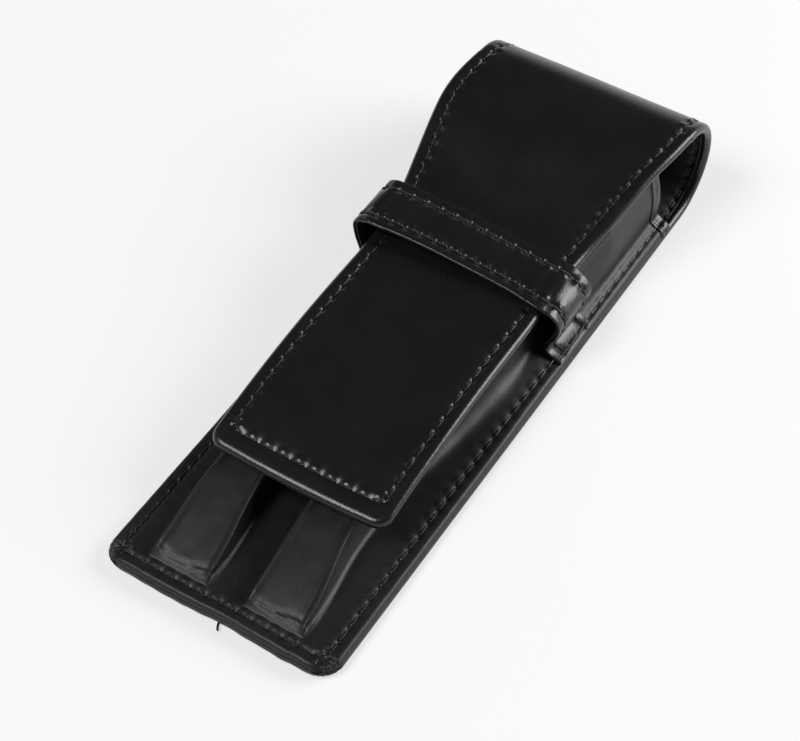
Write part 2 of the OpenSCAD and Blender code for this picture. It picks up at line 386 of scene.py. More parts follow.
def floats(*parts):
    """Numbers and arrays as arrays of one common shape."""
    return np.broadcast_arrays(*(np.asarray(part, float) for part in parts))


def on_base(x, l, z):
    """Place on the back panel of a point given by its x, l and height."""
    x, l, z = floats(x, l, z)
    along, up = end_wave(x, l, z)
    return at(x, l + along, z + up)


def flap_crown(l):
    """How far the flap stands up of itself between the strap and the bend."""
    return FLAP_CROWN * ramp(l - STRAP_END, 1, 20) * (1 - ramp(l, 134, 22))


def flap_sway(l):
    """How far the flap lies to the left of the middle; it is never folded quite true."""
    return FLAP_SWAY * ramp(l, 90, 34) * (1 - ramp(l, 138, 22))


def folded(x, u, h):
    """Point of the strip, from flat terms to its place on the closed case."""
    x, u, h = floats(x, u, h)
    l = length_of(u)
    on_flap = u > FLAP_U
    angle = np.clip((u - BEND_L) / BEND_R, 0, math.pi)
    drop = np.where(on_flap, flap_under(l) + PANEL_T - BEND_H, 0)
    bow = -TIP_BOW * (1 - (x / TONGUE_HALF) ** 2) * np.exp(-np.maximum(END_U - u, 0) / TIP_BOW_REACH)
    y = l + bow * on_flap + (BEND_R - h) * np.sin(angle)
    z = BEND_R - (BEND_R - h) * np.cos(angle) + drop
    z = z + flap_crown(l) * on_flap
    x = x + flap_sway(l) * on_flap
    along, up = end_wave(x, u, h)
    return at(x, y + along, z + up)


def half_width(u):
    """Half the strip's width at u, corners aside."""
    return np.where(u > FLAP_U, flap_half(length_of(u)), HALF_W)


def corner_loss(v, r):
    """How much shorter a row is, on one side, at v from an end with corners of radius r."""
    return r - math.sqrt(max(r * r - (r - min(v, r)) ** 2, 0))


def row_half(u):
    """Half the length of the row of points at u, shortened where it crosses a rounded corner."""
    return float(half_width(u)) - corner_loss(u, CORNER_R) - corner_loss(END_U - u, TONGUE_R)


def to_outline(x, v, half, r):
    """Distance to the edge of a point at v from an end that has corners of radius r."""
    qx, qv = np.abs(x) - (half - r), r - v
    return np.where((qx > 0) & (qv > 0), r - np.hypot(qx, qv), np.minimum(half - np.abs(x), v))


def edge_distance(x, u):
    """Distance from a point of the strip to its nearest edge."""
    half = half_width(u)
    to_base, to_tip = to_outline(x, u, half, CORNER_R), to_outline(x, END_U - u, half, TONGUE_R)
    return np.maximum(np.minimum(to_base, to_tip), 0)


print("strip of leather, cut length", round(float(END_U)), "mm")

# %% [markdown]
# A seam is a row of holes at an even pitch, a little way in from the edge. The thread pulls the leather
# down at each hole, so the leather swells between holes. That swelling, more than the thread, is what the
# eye reads as stitching on black leather, so the seam's path and its holes come before any skin is made.

# %% Seams
PITCH = 3.9
FLAP_SEAM = 3.2
TIP_SEAM = 4.7
BACK_SEAM = 3.2
SEAM_TURN_R = 1.2
BEAD_INSET = 0.8


def seam_inset(u):
    """Distance of the side seam from the edge: it drifts outward where the sleeves are full."""
    drift = 0.5 * ramp(u, 66, 20) + 0.4 * ramp(u - STRAP_START, 6, 10)
    return BACK_SEAM - drift * (1 - ramp(u - BEND_L, -8, 10))


def run_along(line):
    """Length along a line of points, up to each of them."""
    return np.concatenate([[0], np.cumsum(np.linalg.norm(np.diff(line, axis=0), axis=1))])


def on_line(marks, run, line):
    """Points of a line at the marked lengths along it."""
    return np.stack([np.interp(marks, run, line[:, k]) for k in range(line.shape[1])], axis=1)


def spaced(line, pitch):
    """Points at an even pitch along a line of points."""
    run = run_along(line)
    count = max(int(round(run[-1] / pitch)), 1)
    return on_line(np.linspace(0, run[-1], count + 1), run, line)


def side_seam(start_u, end_u, side, count=600):
    """Line of (x, u) along one side of the strip."""
    u = np.linspace(start_u, end_u, count)
    return np.stack([side * (half_width(u) - seam_inset(u)), u], axis=1)


def end_seam(side_inset, inset, end_u, direction, half):
    """Seam across an end of the strip with both its corners, from left to right."""
    centre_x, centre_u = half - side_inset - SEAM_TURN_R, end_u - direction * (inset + SEAM_TURN_R)
    a = np.linspace(0, math.pi / 2, 12)
    turned_x, turned_u = SEAM_TURN_R * np.cos(a), direction * SEAM_TURN_R * np.sin(a)
    right = np.stack([centre_x + turned_x, centre_u + turned_u], axis=1)
    return np.concatenate([right * (-1, 1), right[::-1]])


tongue_seam = end_seam(FLAP_SEAM, TIP_SEAM, END_U, 1, TONGUE_HALF)
base_seam = end_seam(BACK_SEAM, BACK_SEAM, 0, -1, HALF_W)
tongue_holes = spaced(tongue_seam, PITCH)
base_holes = spaced(base_seam, PITCH)
side_holes = {side: spaced(side_seam(base_seam[0, 1], tongue_seam[0, 1], side), PITCH) for side in (-1, 1)}
seams = (side_holes[-1], side_holes[1], tongue_holes, base_holes)
strip_holes = np.concatenate(seams)


def beads_of(holes):
    """Where the leather swells most: half way between two holes, a little inside the seam."""
    middle, step = (holes[:-1] + holes[1:]) / 2, np.diff(holes, axis=0)
    inward = np.stack([-step[:, 1], step[:, 0]], axis=1) / np.linalg.norm(step, axis=1)[:, None]
    inward *= np.sign(np.sum(inward * ((0, END_U / 2) - middle), axis=1))[:, None]
    return middle + BEAD_INSET * inward


strip_beads = np.concatenate([beads_of(holes) for holes in seams])
print("holes:", len(side_holes[1]), "along each side,", len(tongue_holes), "across the tongue")

# %% [markdown]
# What a seam does to a face is a matter of depth alone. A slack lip runs along the edge, a shallow groove
# lies under the thread, each hole is pulled in, and a bead of leather stands between two holes. At the
# round corners of the stitched end the turned leather has to gather, and shows as small pleats.

# %% What seams, edges and corners do to a face
LIP_DEPTH = 0.12
GROOVE_DEPTH = 0.09
GROOVE_W = 0.32
# A sharp pull and a wide one at each hole, as depth and width.
HOLE_PULLS = ((0.42, 0.55), (0.16, 1.3))
BEAD_RISE = 0.27
BEAD_W = 0.72
SEAM_REACH = 3.5
PLEAT_DEPTH = 0.75
PLEAT_COUNT = 24


def pits(x, u, holes, wide):
    """How strongly the thread pulls at each point: 1 at a hole, fading to 0 between holes."""
    deep = np.zeros(np.broadcast(x, u).shape)
    for hx, hu in holes:
        deep = np.maximum(deep, np.exp(-((x - hx) ** 2 + (u - hu) ** 2) / wide ** 2))
    return deep


def edge_roll(d, r):
    """Depth of a face below its level, from rounding at the edge of the panel."""
    return r * (1 - np.sqrt(1 - (1 - np.minimum(d / r, 1)) ** 2))


def seam_distance(x, u):
    """Distance from the seam line, positive towards the middle of the strip."""
    side = half_width(u) - np.abs(x) - seam_inset(u)
    return np.minimum(side, np.minimum(END_U - u - TIP_SEAM, u - BACK_SEAM))


def seam_depth(e, x, u, holes, beads):
    """Depth of a face at e from a seam: slack lip, shallow groove, holes pulled in and beads between them."""
    lip = LIP_DEPTH * ramp(e, -1.5, 1.5) - LIP_DEPTH * ease(e / 2.4)
    groove = GROOVE_DEPTH * mound(e, 0, GROOVE_W)
    pulled = sum(deep * pits(x, u, holes, wide) for deep, wide in HOLE_PULLS)
    return lip + groove + pulled - BEAD_RISE * pits(x, u, beads, BEAD_W)


def corner_pleats(x, u, d):
    """Depth of the small pleats that take up the leather turned round the corners of the stitched end."""
    turned = np.arctan2(CORNER_R - u, np.abs(x) - (HALF_W - CORNER_R))
    inside = (u < CORNER_R + 1) & (np.abs(x) > HALF_W - CORNER_R - 1)
    ridges = (0.5 + 0.5 * np.cos(turned * PLEAT_COUNT + 1.2 * np.sin(turned * 5))) ** 1.5
    spread = mound(np.maximum(np.abs(d - 1.0) - 0.6, 0), 0, 0.9)
    return PLEAT_DEPTH * ridges * inside * spread * ease(np.sin(np.clip(turned, 0, math.pi / 2) * 2) * 2)


def near_holes(holes, u):
    """Holes or beads that are near enough to u to move the leather there."""
    return holes[np.abs(holes[:, 1] - u) < SEAM_REACH]


def strip_seam(x, u):
    """Depth that the strip's own seams give its face at x and u."""
    return seam_depth(seam_distance(x, u), x, u, near_holes(strip_holes, u), near_holes(strip_beads, u))


print("a hole is", round(sum(deep for deep, wide in HOLE_PULLS), 2), "mm deep, a bead", BEAD_RISE, "mm high")

# %% [markdown]
# The skin of the strip is built from rows of points. Each row is a closed loop: across the outer face,
# round the edge, back across the inner face. Points crowd towards the edge and the seam, where the shape
# changes quickly. A bevel modifier could round the edge, but it can't make the swelling along a seam, so
# the loops carry both.

# %% Loops and the pieces made from them
EDGE_STEPS = [
    0, 0.04, 0.15, 0.35, 0.65, 1.0, 1.35, 1.7, 2.0, 2.25, 2.45, 2.6, 2.75,
    2.9, 3.05, 3.2, 3.4, 3.65, 3.85, 4.0, 4.15, 4.35, 4.7, 5.2, 6.0, 7.2,
]
END_STEPS = np.array(EDGE_STEPS[:8])
MIDDLE_POINTS = 46
WELD = 2e-6
SLIVER = 1e-6


def across(half):
    """Places across a row, crowded towards both edges."""
    steps = np.array(EDGE_STEPS) * min(1, half / (1.5 * EDGE_STEPS[-1]))
    middle = np.linspace(-half + steps[-1], half - steps[-1], MIDDLE_POINTS)[1:-1]
    return np.concatenate([-half + steps, middle, (half - steps)[::-1]])


def crowded(start, stop, step, first=True, last=True):
    """Even places from start to stop, with fine steps at the ends named."""
    low = start + END_STEPS if first else np.array([start, start + 0.03])
    high = stop - END_STEPS[::-1] if last else np.array([stop - 0.03, stop])
    count = max(int((high[0] - low[-1]) / step), 1)
    return np.concatenate([low, np.linspace(low[-1], high[0], count + 1)[1:-1], high])


def there_and_back(there, home):
    """A line of values, then another in reverse without its two ends, to close a loop."""
    return np.concatenate([there, home[1:-1][::-1]])


def strip_loop(x, u, face, back_face):
    """Closed loop across the strip at u: over one face and home over the other."""
    loop_x = there_and_back(x, x)
    return folded(loop_x, np.full_like(loop_x, u), there_and_back(face, back_face))


def piece(name, vertices, faces, material, body=None):
    """New object from points in metres, smooth shaded, with its flat ends kept crisp."""
    mesh = bpy.data.meshes.new(name)
    mesh.from_pydata(np.reshape(vertices, (-1, 3)).tolist(), [], faces)
    made = bpy.data.objects.new(name, mesh)
    bpy.context.scene.collection.objects.link(made)
    work = bmesh.new()
    work.from_mesh(mesh)
    bmesh.ops.remove_doubles(work, verts=work.verts, dist=WELD)
    bmesh.ops.dissolve_degenerate(work, edges=work.edges, dist=SLIVER)
    bmesh.ops.recalc_face_normals(work, faces=work.faces)
    for face in work.faces:
        face.smooth = len(face.verts) < 5
    for edge in work.edges:
        edge.smooth = all(len(face.verts) < 5 for face in edge.link_faces)
    work.to_mesh(mesh)
    work.free()
    mesh.materials.append(material)
    if body:
        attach(made, body)
    return made


def tube_faces(rows, columns):
    """Faces between closed loops, with a flat cap on the first and the last loop."""
    faces = []
    for r in range(rows - 1):
        for c in range(columns):
            this, after = r * columns, (c + 1) % columns
            faces.append((this + c, this + after, this + columns + after, this + columns + c))
    faces.append(tuple(range(columns)))
    faces.append(tuple(range((rows - 1) * columns, rows * columns)))
    return faces


def swept(name, rows, material, body=None):
    """Piece made of closed loops of points, one after another."""
    return piece(name, np.concatenate(rows), tube_faces(len(rows), len(rows[0])), material, body)


def point_count(pieces):
    """How many points some pieces have together."""
    return sum(len(made.data.vertices) for made in pieces)


# %% [markdown]
# The skin is the leather that shows. It turns over the edge, so each loop runs over the outer face and
# comes home under it as a margin, with the lining's seat cut into it. The skin is made in eight lengths:
# the back, the flap, and between them six strips for the bend, whose meeting lines the hinges decide.

# %% The skin of the back, the bend and the flap
EDGE_ROUND = PANEL_T / 2 - 0.01
HINGES = 6
SEGMENT_TURN = 36
BLEND_W = 4.0
BACK_STEP, FLAP_STEP, BEND_STEP, TIP_STEP = 0.7, 0.6, 0.5, 0.3


def hand_wave(x, u):
    """Slow unevenness of the outer face, strongest in the middle of the flap."""
    points = np.stack(np.broadcast_arrays(x, u, np.zeros_like(x)), axis=-1)
    return 0.13 * smooth_noise(points, 22, 1) + 0.025 * smooth_noise(points, 7, 2)


def skin_row(u):
    """Closed loop of the outer skin at u, turned over its edges onto the inner face."""
    x = across(row_half(u))
    d = edge_distance(x, u)
    swell = strip_seam(x, u) + edge_roll(d, EDGE_ROUND)
    swell += 0.8 * corner_pleats(x, u, d) if u < BEND_L else 0
    face = swell + np.where(u > BEND_L, hand_wave(x, u), 0) * (0.3 + 0.7 * ramp(d, 5, 4))
    seat = (PANEL_T - OUTER_T) * ramp(d - TURNED_W, -0.1, 0.15)
    return strip_loop(x, u, face, PANEL_T - np.maximum(swell, seat))


segment_middles = [SEGMENT_TURN * (k + 0.5) for k in range(HINGES - 1)]
arc_marks = [BEND_L + BEND_R * math.radians(angle) for angle in segment_middles]
strip_marks = [BEND_L - BLEND_W] + arc_marks + [FLAP_U + BLEND_W]


def bend_places(k):
    """Places of the rows of the bend's strip k."""
    return crowded(strip_marks[k], strip_marks[k + 1], BEND_STEP, first=False, last=False)


back_places = crowded(0, strip_marks[0], BACK_STEP, last=False)
back_skin = swept("back_skin", [skin_row(u) for u in back_places], SKIN, "case")
tip_places = END_U - np.arange(2.6, 7.4, TIP_STEP)
flap_places = np.concatenate([crowded(strip_marks[-1], END_U, FLAP_STEP, first=False), tip_places])
flap_places = np.unique(np.round(flap_places, 2))
flap_skin = swept("flap_skin", [skin_row(u) for u in flap_places], SKIN, "flap")
bend_skins = [swept(f"bend_skin_{k}", [skin_row(u) for u in bend_places(k)], SKIN) for k in range(HINGES)]
print("skin points:", point_count([back_skin, flap_skin] + bend_skins))

# %% [markdown]
# Under the skin lie a stiff board of pressed fibre and the lining. The lining is cut short of the edge, and
# the skin's margin is turned over onto it, so its loops stop where the margin ends. The boards are never
# seen when the case is whole, and stay plain, but they are there, because they are what keeps back and flap
# flat.

# %% Linings and boards of the back, the bend and the flap
CLEAR = 0.03
BOARD_PLAY = 0.05
LINING_MARGIN_R = 0.35
LINING_STEP, BOARD_STEP = 0.8, 1.2


def lining_row(u, seat_h):
    """Closed loop of the lining at u, inside the turned edge of the skin, lying on a seat at depth seat_h."""
    x = across(row_half(u))
    d = edge_distance(x, u)
    swell = strip_seam(x, u)
    half = row_half(u) - TURNED_W
    margin = edge_roll(np.maximum(d - TURNED_W, 0), LINING_MARGIN_R)
    face = PANEL_T - 0.01 - swell * 0.9 - margin
    return strip_loop(np.clip(x, -half, half), u, face, np.minimum(seat_h + CLEAR, face - 0.05))


def board_row(u):
    """Closed loop of the fibre board at u, between the skin and the lining."""
    half = row_half(u) - TURNED_W - BOARD_PLAY
    x = np.clip(across(row_half(u)), -half, half)
    face = np.full_like(x, OUTER_T + 0.02)
    return strip_loop(x, u, face, face + BOARD_T - 0.04)


BOARD_TOP = OUTER_T + BOARD_T
back_start, back_stop = TURNED_W, strip_marks[0]
flap_start, flap_stop = strip_marks[-1], END_U - TURNED_W
back_lining = swept("lining_of_back", [
    lining_row(u, BOARD_TOP) for u in crowded(back_start, back_stop, LINING_STEP, last=False)
], LINING, "case")
flap_lining = swept("lining_of_flap", [
    lining_row(u, BOARD_TOP) for u in crowded(flap_start, flap_stop, LINING_STEP, first=False)
], LINING, "flap")


def board_rows(start, stop):
    """Loops of a board with a little play at both ends."""
    return [board_row(u) for u in crowded(start + BOARD_PLAY, stop - BOARD_PLAY, BOARD_STEP, False, False)]


back_board = swept("board_of_back", board_rows(back_start, back_stop), BOARD, "case")
flap_board = swept("board_of_flap", board_rows(flap_start, flap_stop), BOARD, "flap")
bend_linings = [
    swept(f"bend_lining_skin_{k}", [lining_row(u, OUTER_T + BOARD_T * 0.5) for u in bend_places(k)], LINING)
    for k in range(HINGES)
]
print("lining points:", point_count([back_lining, flap_lining] + bend_linings))

# %% [markdown]
# The bend is one piece of leather, but the model turns it about six hinges. So the skin there is six strips
# that meet in the middle of each hinged segment, and each strip lies across its own hinge. The strips are
# left without a body; each only has its place baked into its points.


def hinge_span(k):
    """Start and end of the blend across hinge k, on the outer face of the bend."""
    angle = math.radians(SEGMENT_TURN * k)
    place = np.array([0, BEND_L + BEND_R * math.sin(angle), BEND_R - BEND_R * math.cos(angle)])
    along = np.array([0, math.cos(angle), math.sin(angle)]) * BLEND_W
    return [tuple(at(*(place + sign * along)).tolist()) for sign in (-1, 1)]


def bend_across(obj, k):
    """Bake the place of a piece over hinge k into its points; the span of the blend across hinge k is found
    but not used.
    """
    start, end = hinge_span(k)
    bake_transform(obj)


for k in range(HINGES):
    bend_across(bend_skins[k], k)
    bend_across(bend_linings[k], k)
print("hinges bent across:", HINGES)

# %% [markdown]
# Each sleeve is one sheet, pleated like a box and sewn down along the centre, along the side and across the
# stitched end. A sleeve changes all along its length: its walls lean, it wanders a little, its toe is
# thick, and near the bend it gapes against the flap. So each row is drawn from six corners, which follow
# the solid's rules.

# %% Corners of a sleeve
SHEET_INSET = 0.3
# How far each wall and each foot leans, at the tip, at the waist and at the mouth.
LEANS = {
    "in": (3.5, 4.5, 3.0), "out": (5.6, 7.6, 1.4), "foot_in": (0.6, 1.4, 3.0), "foot_out": (0.6, 1.4, 1.4),
}
TOE_L = 4.7
TOE_RISE = 1.2
DRIFT = -1.3
SWAY = 0.25
DRAWN_IN = 3.7
LET_OUT = 4.2
MOUTH_PRESS = 0.55
MOST_GAPE = 3.6
BEYOND_EDGE = 6


def lean(l, part):
    """How far a wall or its foot leans at l, between its leans at the tip, the waist and the mouth."""
    tip, waist, mouth = LEANS[part]
    to_waist, to_mouth = ramp(l, TIP_L, WAIST_L - TIP_L), ramp(l, WAIST_L, WIDEN_L)
    return tip + (waist - tip) * to_waist + (mouth - waist) * to_mouth


def flange_tilt(l):
    """How far the flange's inner edge is lifted where the sleeve is full."""
    return 0.1 + 1.7 * ramp(l, 62, 24)


def sleeve_corners(l, side):
    """Corners of the upper face, as in the solid, with the sway and the thick toe of a hand-made pleat."""
    low = PANEL_T + SLEEVE_T
    toe = TOE_RISE * ramp(l, TOE_L, 2.6) * (1 - ramp(l, 8, 40))
    high = max(sleeve_top(l) + toe, low + 0.02)
    drift = DRIFT * ramp(l, 8, 22) * (1 - ramp(l, 50, 30))
    sway = SWAY * math.sin(l / 11 + side) * ramp(l, 10, 12) * (1 - ramp(l, 80, 15))
    inner = FOOT_W + lean(l, "in") + side * drift + sway
    drawn_in = DRAWN_IN * ramp(l, 36, 45) - LET_OUT * ramp(l, 99, 13)
    outer = HALF_W - FLANGE_W - lean(l, "out") + side * drift + 0.7 * sway - drawn_in
    foot_x = outer + lean(l, "foot_out")

    flap_edge = flap_half(l) + side * flap_sway(l) - 0.4
    under_flap = ramp(l, 106, 5)
    outer -= max(outer - flap_edge, 0) * under_flap
    pressed = MOUTH_PRESS * (under_flap * (1 - ramp(l, 120, 12)))
    room = flap_under(l) - high - FLAP_GAP + 0.85 * flap_crown(l)
    gape = min(max(room + pressed, 0), MOST_GAPE)

    tilt = flange_tilt(l)
    far = HALF_W + BEYOND_EDGE
    fall = (tilt + 0.3) * (far - foot_x) / (HALF_W - foot_x)
    return low, high, np.array([
        [0.0, low], [inner - lean(l, "foot_in"), low], [inner, high + 0.3 * gape],
        [outer, high + gape], [foot_x, low + tilt], [far, low + tilt - fall],
    ])


print("a sleeve is", round(float(sleeve_corners(MOUTH_L / 2, 1)[1]), 1), "mm high half way along")

# %% [markdown]
# A row is a line through those corners. Every corner is rounded by a curve with a fixed count of points,
# and so is every part between two corners, so that all rows have equally many points and can be joined into
# a skin.

# %% Lines through corners
CORNER_POINTS = 9
PART_POINTS = (10, 12, 22, 12)


def unit(rows):
    """Rows of a table as directions of length 1."""
    return rows / np.maximum(np.linalg.norm(rows, axis=1), 1e-9)[:, None]


def square_to(slopes):
    """Directions square to slopes, on their left."""
    return np.stack([-slopes[:, 1], slopes[:, 0]], axis=1)


def rounded_corner(a, b, c, r, count):
    """Points of a soft corner at b, between a part from a and a part to c."""
    to_a, to_c = np.linalg.norm(a - b), np.linalg.norm(c - b)
    k = min(r, to_a / 2.2, to_c / 2.2)
    p = b + (a - b) / max(to_a, 1e-9) * k
    q = b + (c - b) / max(to_c, 1e-9) * k
    t = np.linspace(0, 1, count)[:, None]
    return (1 - t) ** 2 * p + 2 * t * (1 - t) * b + t ** 2 * q


def moved(p, t):
    """Corners of an open line moved square to it by t."""
    parts = unit(np.diff(p, axis=0))
    before, after = np.concatenate([parts[:1], parts]), np.concatenate([parts, parts[-1:]])
    n = unit(np.stack([-before[:, 1] - after[:, 1], before[:, 0] + after[:, 0]], axis=1))
    grow = n[:, 1] * before[:, 0] - n[:, 0] * before[:, 1]
    return p + n * (t / grow)[:, None]


def section_line(corners, radii):
    """Line through the corners, each one rounded, and the place in that line of each corner's middle."""
    crisp_end = corners[:1] + (0.02, 0)
    line, middles, last, total = [corners[:1], crisp_end], [], crisp_end[0], 2
    for i, (r, count) in enumerate(zip(radii, PART_POINTS), 1):
        curve = rounded_corner(corners[i - 1], corners[i], corners[i + 1], r, CORNER_POINTS)
        t = np.linspace(0, 1, count + 1)[1:-1, None]
        line += [last + (curve[0] - last) * t, curve]
        middles.append(total + count - 1 + CORNER_POINTS // 2)
        total += count - 1 + CORNER_POINTS
        last = curve[-1]
    return np.concatenate(line), middles


print("points on the round corners of a row:", len(PART_POINTS) * CORNER_POINTS)

# %% [markdown]
# The sheet at one place is an upper and a lower line. Beyond the outer foot it lies flat as a flange, with
# points crowded round the seam and the edge, where the leather has its finest shapes.

# %% Sheet of a sleeve
FLANGE_STEPS = np.array([
    4.4, 4.2, 4.0, 3.8, 3.6, 3.45, 3.3, 3.1, 2.8, 2.4, 1.9, 1.4, 1.0, 0.65, 0.35, 0.15, 0.04, 0,
])
SHARP_RIDGE, SOFT_RIDGE, INSIDE_RIDGE = 0.5, 1.2, 0.3
CENTRE_FOOT_R = 0.9


def sleeve_sheet(l, side):
    """Upper and lower line of a sleeve's sheet at l, with its two heights, outer foot and corner places."""
    low, high, corners = sleeve_corners(l, side)
    foot = 1.1 + 2.2 * ramp(l, 45, 18) * (1 - ramp(l, 80, 18))
    ridges = (SOFT_RIDGE, SHARP_RIDGE) if side > 0 else (SHARP_RIDGE, SOFT_RIDGE)
    upper, middles = section_line(corners, (CENTRE_FOOT_R, *ridges, foot))
    inside = (CENTRE_FOOT_R, INSIDE_RIDGE, INSIDE_RIDGE, foot + SLEEVE_T)
    lower, _ = section_line(moved(corners, -SLEEVE_T), inside)
    start = upper[-1][0]
    zone = max(HALF_W - SHEET_INSET - FLANGE_STEPS[0], start + 0.1)
    flat = np.concatenate([
        start + (zone - start) * np.array([0.15, 0.35, 0.55, 0.75, 0.9]),
        np.maximum(HALF_W - SHEET_INSET - FLANGE_STEPS, zone + 0.02 * np.arange(len(FLANGE_STEPS))),
    ])
    foot_x, foot_z = corners[4]
    fall = (corners[5, 1] - foot_z) / (corners[5, 0] - foot_x)
    upper = np.concatenate([upper, np.stack([flat, foot_z + fall * (flat - foot_x)], axis=1)])
    lower = np.concatenate([lower, np.stack([flat, np.full_like(flat, PANEL_T)], axis=1)])
    lower[:, 1] = np.maximum(lower[:, 1], PANEL_T)
    return upper, lower, low, high, foot_x, middles


print("points across a sleeve:", len(sleeve_sheet(MOUTH_L / 2, 1)[0]))

# %% [markdown]
# Folded leather doesn't make round corners: the pleat pinches into a ridge, and the flat between two ridges
# sinks a little. The walls are slightly hollow, the toe is creased and crumpled, and nowhere is the sheet
# quite even. All of this moves the sheet square to itself, so it can be one sum of small humps and hollows.

# %% Shape of the pleats
# Pairs are a height and a width.
PINCH = (0.3, 0.7)
LEFT_PINCH = (0.25, 0.9)
DOUBLE_FOLD = 0.22
SINK = 0.6
HOLLOW = 0.35
MOUTH_BULGE = 1.1
TOE_CREASE = (0.22, 0.75)
CRUMPLE = (0.34, 1.6)


def pleat_shift(l, side, upper, low, high, middles):
    """How the pleats move each point of the sheet at l, how far it is raised, and how worn it is."""
    run = run_along(upper)
    normal = square_to(unit(np.gradient(upper, axis=0)))
    foot_in, crease_in, crease_out, foot_out = (run[m] for m in middles)
    crisp = ease((high - low) / 2.5)
    left_crease, right_crease = (crease_in, crease_out) if side > 0 else (crease_out, crease_in)
    pinch = PINCH[0] * crisp * (mound(run, crease_in, PINCH[1]) + mound(run, crease_out, PINCH[1]))
    pinch += LEFT_PINCH[0] * crisp * mound(run, left_crease, LEFT_PINCH[1])
    double = (-DOUBLE_FOLD - 0.08 * side) * crisp * mound(run - right_crease, -side * 1.3, 0.45)

    span = np.clip((run - crease_in) / (crease_out - crease_in), 0, 1)
    sink = -SINK * np.sin(math.pi * span) * crisp * (1 - 0.5 * ramp(l, 30, 40))
    down_in = (run - foot_in) / max(crease_in - foot_in, 0.1)
    down_out = (run - crease_out) / max(foot_out - crease_out, 0.1)
    in_wall, out_wall = (run > foot_in) & (run < crease_in), (run > crease_out) & (run < foot_out)
    down = np.clip(np.where(run < crease_in, down_in, down_out), 0, 1)
    hollow = -HOLLOW * crisp * np.sin(math.pi * down) * (in_wall | out_wall)
    bulge = MOUTH_BULGE * ramp(l, 112, 16) * np.sin(math.pi * np.clip(down_out, 0, 1)) * out_wall

    soft = np.stack([upper[:, 0], np.full(len(upper), l), upper[:, 1]], axis=1)
    ripple = 0.16 * smooth_noise(soft * (1, 0.5, 1), 7, 10 + side)
    ripple += 0.07 * smooth_noise(soft * (1, 0.7, 1), 2.6, 14 + side)
    raised = ramp(upper[:, 1] - low, 0.3, 1.2)
    toe_at = TOE_L + 2.4 + 0.5 * np.sin(upper[:, 0] / 2.3 + side)
    crease_toe = -TOE_CREASE[0] * mound(l, toe_at, TOE_CREASE[1]) * raised
    crumple = -CRUMPLE[0] * smooth_noise(soft * (1.3, 1.6, 0), 1.5, 17 + side)
    crumple *= mound(l - TOE_L, 0.6, CRUMPLE[1])
    shift = pinch + double + sink + hollow + bulge + np.minimum(ripple, 0.12) * raised + crease_toe
    shift += np.minimum(crumple, 0.05) * raised
    worn = 0.08 * smooth_noise(soft * (1, 1, 0), 3.2, 30 + side) * (1 - raised)
    return shift[:, None] * normal, raised, worn


print("the flat between two ridges sinks by", SINK, "mm and the walls by", HOLLOW, "mm")


# %% [markdown]
# Last come the edges and the seam: the row is drawn in where it crosses the round corner of the stitched
# end, its rim rolls down to the edge, and the seam presses into the flange. Where the sleeve is full it
# pulls at its seam, and the beads there lie flatter.

# %% Sleeves
SLEEVE_STEP, TOE_STEP = 0.6, 0.22
SQUEEZED_FROM = 12
RIM_R = 0.8
RIM_UNDER_R = 0.18
DROOP = 0.85
SLACK_BEADS = 0.65
SLACK_GROOVE = (0.22, 0.35)


def squeezed(x, limit):
    """Places across drawn in beyond a fixed place, so that the outermost comes to the limit."""
    scale = (limit - SQUEEZED_FROM) / (HALF_W - SHEET_INSET - SQUEEZED_FROM)
    return np.where(x > SQUEEZED_FROM, SQUEEZED_FROM + (x - SQUEEZED_FROM) * scale, x)


def sleeve_row(l, side):
    """Upper and lower line of one sleeve at l, in its own terms: across, up."""
    upper, lower, low, high, foot_x, middles = sleeve_sheet(l, side)
    shift, raised, worn = pleat_shift(l, side, upper, low, high, middles)
    limit = HALF_W - SHEET_INSET - corner_loss(max(l - SHEET_INSET, 0), CORNER_R - SHEET_INSET)
    x_up, x_down = squeezed(upper[:, 0], limit), squeezed(lower[:, 0], limit)
    d = edge_distance(x_up, np.full_like(x_up, l))
    e = seam_distance(side * x_up, l)
    slack = 0.55 * ramp(l, 66, 14) + 0.45 * ramp(l - STRAP_END, -6, 8)
    depth = seam_depth(e, side * x_up, l, near_holes(strip_holes, l), near_holes(strip_beads, l))
    depth = depth * (1 - SLACK_BEADS * slack) + SLACK_GROOVE[0] * slack * mound(e, 0, SLACK_GROOVE[1])
    depth *= x_up > foot_x - 0.5 if l > TOE_L + 3 else raised < 0.5
    depth += corner_pleats(x_up, l, d)
    rim = np.maximum(d - SHEET_INSET, 0)
    droop = DROOP * edge_roll(d, EDGE_ROUND)
    top = np.stack([x_up, upper[:, 1] - depth - edge_roll(rim, RIM_R) + worn - droop], axis=1) + shift
    tucked = lower[:, 1] - depth * 0.6 + edge_roll(rim, RIM_UNDER_R) * 0.9 - droop
    bottom = np.stack([x_down, tucked], axis=1) + shift
    bottom[:, 1] = np.maximum(bottom[:, 1], PANEL_T - depth * 0.6 + 0.01 - droop)
    under_top = np.minimum(bottom[:, 1], top[:, 1] - 0.03 * (d > SHEET_INSET + 0.02))
    bottom[:, 1] = np.where(raised > 0.5, bottom[:, 1], under_top)
    return top, bottom


def sleeve_rows(side):
    """Closed loops of one sleeve, crowded at its ends and over its toe."""
    places = np.concatenate([crowded(SHEET_INSET, MOUTH_L, SLEEVE_STEP), np.arange(1.4, 8.4, TOE_STEP)])
    rows = []
    for l in np.unique(np.round(places, 3)):
        top, bottom = sleeve_row(float(l), side)
        loop = np.concatenate([top, bottom[::-1]])
        rows.append(on_base(side * loop[:, 0], l, loop[:, 1]))
    return rows


sleeve_skins = {
    side: swept(f"sleeve_skin_{name}", sleeve_rows(side), SLEEVE_SKIN, "case")
    for side, name in ((1, "right"), (-1, "left"))
}
print("sleeve points:", point_count(sleeve_skins.values()))

